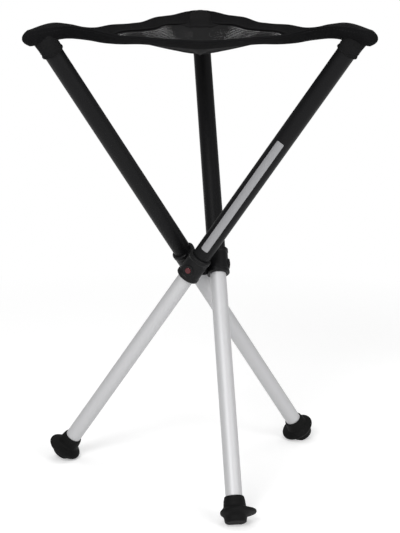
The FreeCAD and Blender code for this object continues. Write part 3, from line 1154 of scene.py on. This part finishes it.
    def cut_net(self, net: Object, half: HalfEdge, material: Material) -> Object:
        """The net of one half sector, cut from a copy of the flat net and laid on the sling.

        Args:
            net: The flat net.
            half: The half-edge that it meets.
            material: The net's material.

        Returns:
            The piece of net.
        """
        piece = net.copy()
        piece.data = net.data.copy()
        piece.name = "seat_net_" + half.name
        bpy.context.collection.objects.link(piece)
        beside = (half.outward - half.spine * half.outward.dot(half.spine)).normalized()
        seam = half.spine * (self.seam_radius + self.net_overlap)
        edit_all(piece)
        for origin, normal in ((Vector(), half.towards), (Vector(), beside), (seam, -half.spine)):
            bpy.ops.mesh.select_all(action="SELECT")
            bpy.ops.mesh.bisect(plane_co=origin, plane_no=normal, clear_inner=True)
        bpy.ops.object.mode_set(mode="OBJECT")
        points = np.empty(len(piece.data.vertices) * 3)
        piece.data.vertices.foreach_get("co", points)
        points = points.reshape(-1, 3)
        out, side = (points @ np.array(way) for way in (half.outward, half.towards))
        points[:, 2], share = self.cloth_heights(half, out, side)
        points = points * MM + np.array(self.stance.axis)
        piece.data.vertices.foreach_set("co", points.reshape(-1))
        shell = bmesh.new()
        shell.from_mesh(piece.data)
        shell.verts.ensure_lookup_table()
        bmesh.ops.delete(shell, geom=[shell.verts[k] for k in np.nonzero(share >= 1.0)[0]], context="VERTS")
        shell.to_mesh(piece.data)
        shell.free()
        piece.data.update()
        thicken(piece, self.net_thickness)
        give(piece, material)
        flat, area = self.net_cut(half)
        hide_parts("seat_mesh")
        return piece

    def build(self) -> None:
        """Make the seat's cloth: the band, the corner patch and the net of each half, and then the pockets.
        """
        net_material = SEAT_NET.build()
        patch_material = PATCH_CLOTH.build()
        band_material = BINDING_WEB.build()
        net = self.make_net()
        start = self.stance.place(0, 0, self.middle_height)
        for half in self.halves:
            pieces = {
                "binding_webbing": self.make_band(half, band_material),
                "patch_cloth": self.make_patch(half, patch_material),
                "seat_mesh_cloth": [self.cut_net(net, half, net_material)],
            }
            for slot, row in pieces.items():
                for piece in row:
                    tuple(start)
                    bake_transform(piece)
            LOG.info("sewed the %s half", half.name)
        bpy.data.objects.remove(net)
        PocketCover(self.stance, self.thread).build(patch_material)


@dataclass
class PocketCover:
    """Sewn sleeves over the tubes' ends, with a rolled lip and a domed top.

    Sizes are in mm and heights are along the leg. The shares are of the outline, from the lip's inside to
    the middle of the dome.
    """

    stance: Stance
    thread: Thread
    lip_height: float = 373.5
    lip_drop: float = 1.2
    lip_bead: float = 0.9
    lip_end_share: float = 0.14
    neck_length: float = 3.2
    neck_end_share: float = 0.26
    inner_radius: float = 12.95
    radius: float = 14.4
    sleeve_end_share: float = 0.62
    top: float = 398.0
    crown_radius: float = 15.6
    back_crown_radius: float = 13.3
    dome_height: float = 14.4
    back_dome_height: float = 2.4
    faces: tuple[int, int] = (48, 50)
    stitch_height: float = 7.0
    route_steps: int = 60

    def outline(self, leg: str, v: float) -> tuple[float, float]:
        """Outline of a sleeve.

        Args:
            leg: The leg's letter.
            v: Share of the way along the outline.

        Returns:
            Radius and height.
        """
        crown_radius, dome_height = self.crown_radius, self.dome_height
        if leg == BACK_LEG:
            crown_radius, dome_height = self.back_crown_radius, self.back_dome_height
        lip_top = self.lip_height + self.lip_drop
        neck_top = lip_top + self.neck_length
        lip_radius = self.radius + self.lip_bead
        if v < self.lip_end_share:
            turn = math.pi * v / self.lip_end_share
            middle = (self.inner_radius + lip_radius) / 2
            return middle - (lip_radius - middle) * math.cos(turn), lip_top - self.lip_drop * math.sin(turn)
        if v < self.neck_end_share:
            share = (v - self.lip_end_share) / (self.neck_end_share - self.lip_end_share)
            return lip_radius - self.lip_bead * ease(share), lip_top + self.neck_length * share
        if v < self.sleeve_end_share:
            share = (v - self.neck_end_share) / (self.sleeve_end_share - self.neck_end_share)
            taper = (self.radius - crown_radius) * share * share
            return self.radius - taper, neck_top + (self.top - neck_top) * share
        turn = math.pi / 2 * (v - self.sleeve_end_share) / (1 - self.sleeve_end_share)
        return crown_radius * math.cos(turn), self.top + dome_height * math.sin(turn)

    def build(self, cloth: Material) -> None:
        """Make the three sleeves and let them ride on the legs.

        Args:
            cloth: The sleeves' material.
        """
        reach = self.radius + self.thread.lift
        height = self.lip_height + self.stitch_height
        turns = [math.tau * k / self.route_steps for k in range(self.route_steps + 1)]
        for leg in LEGS:
            piece = self.stance.turned_piece("seat_pocket_cover_" + leg, leg, self.faces,
                                             lambda _, v: self.outline(leg, v))
            flat, area = cut_size(piece, self.faces)
            outwards(piece)
            smooth(piece, CLOTH_EDGE_ANGLE, cloth)
            route = [self.stance.round_leg(leg, reach, turn, height) for turn in turns]
            row = self.thread.sew("stitches_pocket_" + leg, route)
            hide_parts("seat_pocket_" + leg)
            for part in (piece, row):
                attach(part, "leg_" + leg)
            LOG.info("sewed pocket %s", leg)


@dataclass
class RubberFoot:
    """Rubber feet with an eccentric flange.

    Sizes are in mm, and drops are measured down from the mouth. A cut is how far from its corner of the
    outline a rounding starts.
    """

    stance: Stance
    mouth: float = 330.6
    mouth_radius: float = 13.0
    mouth_cut: float = 0.8
    bore_radius: float = 11.25
    bore_depth: float = 14.4
    bore_cut: float = 0.3
    collar_radius: float = 14.2
    collar_drop: float = 4.4
    collar_cut: float = 3.0
    flare_radius: float = 15.2
    flare_cut: float = 1.8
    flange_radius: float = 24.1
    flange_shift: float = 4.26
    flange_top: float = 14.4
    flange_middle: float = 20.8
    flange_bottom: float = 26.8
    flange_tip: float = 3.6
    flange_cut: float = 1.7
    nub_radius: float = 15.6
    nub_cut: float = 1.2
    nub_end_radius: float = 14.2
    nub_end_cut: float = 2.4
    length: float = 35.0
    around: int = 72
    arc_steps: int = 6

    def corners(self, turn: float) -> list[tuple[float, float, float]]:
        """Corners of the outline at one turn.

        Args:
            turn: Turn round the leg's axis, in radians.

        Returns:
            Radius, drop and cut of each corner.
        """
        across = self.flange_shift * math.sin(turn)
        tip = self.flange_shift * math.cos(turn) + math.sqrt(self.flange_radius ** 2 - across ** 2)
        half_tip = self.flange_tip / 2
        return [
            (0.0, self.length, 0.0),
            (self.nub_end_radius, self.length, self.nub_end_cut),
            (self.nub_radius, self.flange_bottom, self.nub_cut),
            (tip, self.flange_middle + half_tip, self.flange_cut),
            (tip, self.flange_middle - half_tip, self.flange_cut),
            (self.flare_radius, self.flange_top, self.flare_cut),
            (self.collar_radius, self.collar_drop, self.collar_cut),
            (self.mouth_radius, 0.0, self.mouth_cut),
            (self.bore_radius, 0.0, self.bore_cut),
            (self.bore_radius, self.bore_depth, 0.0),
            (0.0, self.bore_depth, 0.0),
        ]

    def outline(self, turn: float) -> list[Vector]:
        """Rounded outline at one turn.

        Args:
            turn: Turn round the leg's axis, in radians.

        Returns:
            Points of radius and drop.
        """
        row = [(Vector((radius, drop)), cut) for radius, drop, cut in self.corners(turn)]
        points = [row[0][0]]
        for (before, _), (corner, cut), (after, _) in zip(row, row[1:], row[2:]):
            start = corner + (before - corner).normalized() * cut
            end = corner + (after - corner).normalized() * cut
            for k in range(self.arc_steps + 1 if cut else 1):
                t = k / self.arc_steps
                points.append(start * (1 - t) ** 2 + corner * 2 * t * (1 - t) + end * t ** 2)
        return points + [row[-1][0]]

    def build(self) -> None:
        """Make the three feet, cut flat by the floor, and let them ride on the lower legs."""
        rubber = FOOT_RUBBER.build()
        outlines = [self.outline(math.tau * k / self.around) for k in range(self.around + 1)]
        steps = len(outlines[0]) - 1

        def point(u: float, v: float) -> tuple[float, float]:
            """Radius and height of a point of the foot."""
            radius, drop = outlines[round(u * self.around)][round(v * steps)]
            return radius, -self.mouth - drop

        for leg in LEGS:
            piece = self.stance.turned_piece("rubber_foot_" + leg, leg, (self.around, steps), point)
            outwards(piece)
            edit_all(piece)
            bpy.ops.mesh.bisect(plane_co=(0, 0, 0), plane_no=UP, use_fill=True, clear_inner=True)
            bpy.ops.object.mode_set(mode="OBJECT")
            smooth(piece, MOULDED_EDGE_ANGLE, rubber)
            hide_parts("foot_" + leg)
            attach(piece, "lower_leg_" + leg)
        LOG.info("moulded the feet")


@dataclass
class TubeCap:
    """Flat caps in the upper tubes' ends, low enough to lie under the cloth. Sizes are in mm."""

    stance: Stance
    tube_top: float = 398.0
    stem_length: float = 9.0
    stem_radius: float = 11.45
    head_radius: float = 12.7
    head_height: float = 0.6
    bevel: float = 0.3
    around: int = 64
    edge_angle: float = 30.0

    def build(self) -> None:
        """Make the three caps and let them ride on the legs."""
        plastic = CAP_PLASTIC.build()
        top = self.tube_top + self.head_height
        outline = [
            (0.0, self.tube_top - self.stem_length),
            (self.stem_radius, self.tube_top - self.stem_length),
            (self.stem_radius, self.tube_top),
            (self.head_radius, self.tube_top),
            (self.head_radius, top - self.bevel),
            (self.head_radius - self.bevel, top),
            (0.0, top),
        ]
        steps = len(outline) - 1
        for leg in LEGS:
            piece = self.stance.turned_piece("tube_cap_" + leg, leg, (self.around, steps),
                                             lambda _, v: outline[round(v * steps)])
            outwards(piece)
            smooth(piece, self.edge_angle, plastic)
            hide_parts("top_cap_" + leg)
            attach(piece, "leg_" + leg)
        LOG.info("moulded the tube caps")


@dataclass
class LabelPlate:
    """Bare silver label on the front leg's upper tube, in the tube's own frame.

    Lengths are in mm and angles round the tube in degrees.
    """

    stance: Stance
    leg: str = "a"
    radius: float = 12.7
    start: float = 36.5
    end: float = 226.5
    facing: float = 5.0
    width: float = 50.0
    thickness: float = 0.25
    corner_share: float = 0.35
    corner_depth: float = 1.6
    faces: tuple[int, int] = (60, 16)

    def point(self, u: float, v: float) -> Vector:
        """Point of the plate on the tube.

        Args:
            u: Share of the way along the plate.
            v: Share of the way across it.

        Returns:
            The point in metres.
        """
        turn = math.radians(self.facing + self.width * (v - 0.5))
        edge = max(abs(2 * v - 1) - 1 + self.corner_share, 0.0) / self.corner_share
        drop = self.corner_depth * (1 - math.sqrt(max(1 - edge * edge, 0.0)))
        height = self.start + drop + (self.end - self.start - 2 * drop) * u
        return self.stance.round_leg(self.leg, self.radius + self.thickness / 2, turn, height)

    def build(self) -> None:
        """Make the plate and let it ride on its leg."""
        piece = add_grid("label_plate", self.faces)
        shape_grid(piece, self.point)
        thicken(piece, self.thickness)
        outwards(piece)
        smooth(piece, MOULDED_EDGE_ANGLE, LABEL_FOIL.build())
        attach(piece, "leg_" + self.leg)
        LOG.info("placed the label plate")


@dataclass(frozen=True)
class Lamp:
    """A soft square lamp that looks at the middle of the stool.

    Attributes:
        name: Its name.
        place: Where it hangs, in metres.
        size: Length of its sides, in metres.
        power: Its power, in watts.
    """

    name: str
    place: tuple[float, float, float]
    size: float
    power: float

    def hang(self, aim: Vector) -> None:
        """Hang the lamp so that it looks at a point.

        Args:
            aim: The point, in metres.
        """
        data = bpy.data.lights.new(self.name, "AREA")
        data.size = self.size
        data.energy = self.power
        lamp = bpy.data.objects.new(self.name, data)
        bpy.context.collection.objects.link(lamp)
        lamp.location = self.place
        lamp.rotation_euler = (aim - lamp.location).to_track_quat("-Z", "Y").to_euler()


@dataclass
class Studio:
    """White floor, soft lamps and the camera at the photograph's place.

    Sizes of the camera are in mm, those of the floor and the lamps in metres.
    """

    stance: Stance
    camera_back: float = 2223.7
    camera_height: float = 830.9
    camera_pitch: float = 13.407
    lens: float = 111.2
    frame_height: float = 36.0
    floor_size: float = 30.0
    floor_colour: float = 0.8
    floor_glow: float = 0.35
    world_glow: float = 0.33
    shadow_reach: float = 0.6
    aim_height: float = 0.35
    lamps: tuple[Lamp, ...] = (
        Lamp("key_lamp", (-0.9, -2.6, 2.2), 1.4, 62.0),
        Lamp("fill_lamp", (1.8, -1.8, 1.4), 1.4, 24.0),
        Lamp("top_lamp", (0.0, 0.4, 3.0), 2.2, 24.0),
    )

    def make_floor(self) -> None:
        """Pale floor that keeps the stool's shadow and is plain white to the camera further off."""
        deselect_all()
        bpy.ops.mesh.primitive_plane_add(size=self.floor_size, location=(0, 0, 0))
        floor = bpy.context.object
        floor.name = "studio_floor"
        material = bpy.data.materials.new("studio_floor")
        material.use_nodes = True
        tree = material.node_tree
        tree.nodes.clear()
        out = add_node(tree, "OutputMaterial")
        place = add_node(tree, "TexCoord")
        reach = add_node(tree, "VectorMath", operation="LENGTH")
        far = add_node(tree, "MapRange", {"From Min": self.shadow_reach, "From Max": 2 * self.shadow_reach})
        far_seen = add_node(tree, "Math", operation="MULTIPLY")
        white = add_node(tree, "Emission")
        mix = add_node(tree, "MixShader")
        matt = add_node(tree, "BsdfDiffuse", {"Color": (*[self.floor_colour] * 3, 1)})
        glow = add_node(tree, "Emission")
        path = add_node(tree, "LightPath")
        seen = add_node(tree, "Math", operation="MAXIMUM")
        lit = add_node(tree, "Math", {1: self.floor_glow}, operation="MULTIPLY")
        both = add_node(tree, "AddShader")
        link = tree.links.new
        link(path.outputs["Is Camera Ray"], seen.inputs[0])
        link(path.outputs["Is Glossy Ray"], seen.inputs[1])
        link(seen.outputs[0], lit.inputs[0])
        link(lit.outputs[0], glow.inputs["Strength"])
        link(matt.outputs[0], both.inputs[0])
        link(glow.outputs[0], both.inputs[1])
        link(place.outputs["Object"], reach.inputs[0])
        link(reach.outputs["Value"], far.inputs["Value"])
        link(far.outputs["Result"], far_seen.inputs[0])
        link(seen.outputs[0], far_seen.inputs[1])
        link(far_seen.outputs[0], mix.inputs[0])
        link(both.outputs[0], mix.inputs[1])
        link(white.outputs[0], mix.inputs[2])
        link(mix.outputs[0], out.inputs["Surface"])
        give(floor, material)

    def make_world(self) -> None:
        """Plain world that is white behind the stool."""
        world = bpy.data.worlds.new("studio_world")
        bpy.context.scene.world = world
        world.use_nodes = True
        tree = world.node_tree
        glow = tree.nodes["Background"]
        glow.inputs["Color"].default_value = (1, 1, 1, 1)
        path = add_node(tree, "LightPath")
        seen = add_node(tree, "Math", operation="MAXIMUM")
        strength = add_node(tree, "MapRange", {"To Min": self.world_glow, "To Max": 1.0})
        link = tree.links.new
        link(path.outputs["Is Camera Ray"], seen.inputs[0])
        link(path.outputs["Is Transmission Ray"], seen.inputs[1])
        link(seen.outputs[0], strength.inputs["Value"])
        link(strength.outputs["Result"], glow.inputs["Strength"])

    def make_camera(self) -> None:
        """Camera at the photograph's place."""
        data = bpy.data.cameras.new("camera")
        data.sensor_fit = "VERTICAL"
        data.sensor_height = self.frame_height
        data.lens = self.lens
        camera = bpy.data.objects.new("camera", data)
        bpy.context.collection.objects.link(camera)
        camera.location = self.stance.place(0, -self.camera_back, self.camera_height)
        camera.rotation_euler = (math.radians(90 - self.camera_pitch), 0, 0)
        bpy.context.scene.camera = camera

    def build(self) -> None:
        """Make the studio."""
        self.make_floor()
        self.make_world()
        for lamp in self.lamps:
            lamp.hang(Vector((0, 0, self.aim_height)))
        self.make_camera()
        bpy.context.scene.view_settings.view_transform = "Standard"
        LOG.info("set up the studio")


def main(nodes: dict[str, Object]) -> None:
    """Build the dressed stool and its studio.

    Args:
        nodes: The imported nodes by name.
    """
    logging.basicConfig(level=logging.INFO, format="%(message)s")
    build_grain_group()
    build_weave_group()
    stance = Stance()
    Studio(stance).build()
    dress_nodes(stance, nodes)
    SlingSeat(stance, Thread()).build()
    RubberFoot(stance).build()
    TubeCap(stance).build()
    LabelPlate(stance).build()


if __name__ == "__main__":
    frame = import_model()
    main(frame["nodes"])
